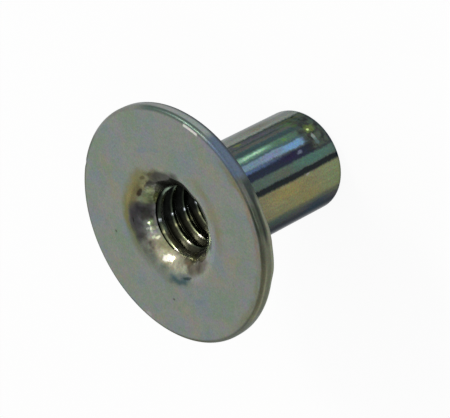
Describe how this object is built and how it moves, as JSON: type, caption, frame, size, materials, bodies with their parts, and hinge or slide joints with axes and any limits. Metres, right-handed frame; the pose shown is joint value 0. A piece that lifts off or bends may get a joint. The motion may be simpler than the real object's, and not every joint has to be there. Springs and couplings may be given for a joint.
{
  "type": "t-nut",
  "caption": "Round-flanged T-nut with a plain barrel and a threaded through bore that opens in a rolled mouth at the flange.",
  "frame": {"origin": "centre of the ring on which the barrel's end stands", "axes": "+Z along the bore, from the barrel's end to the flange's outer face; any direction across it may be +X"},
  "size_m": [0.019, 0.019, 0.015],
  "materials": {
    "zinc_plated_steel": "thin iridescent passivated zinc, satin on the flange and glossy on the barrel"
  },
  "bodies": {
    "root": {"t_nut": "zinc_plated_steel"}
  },
  "joints": []
}
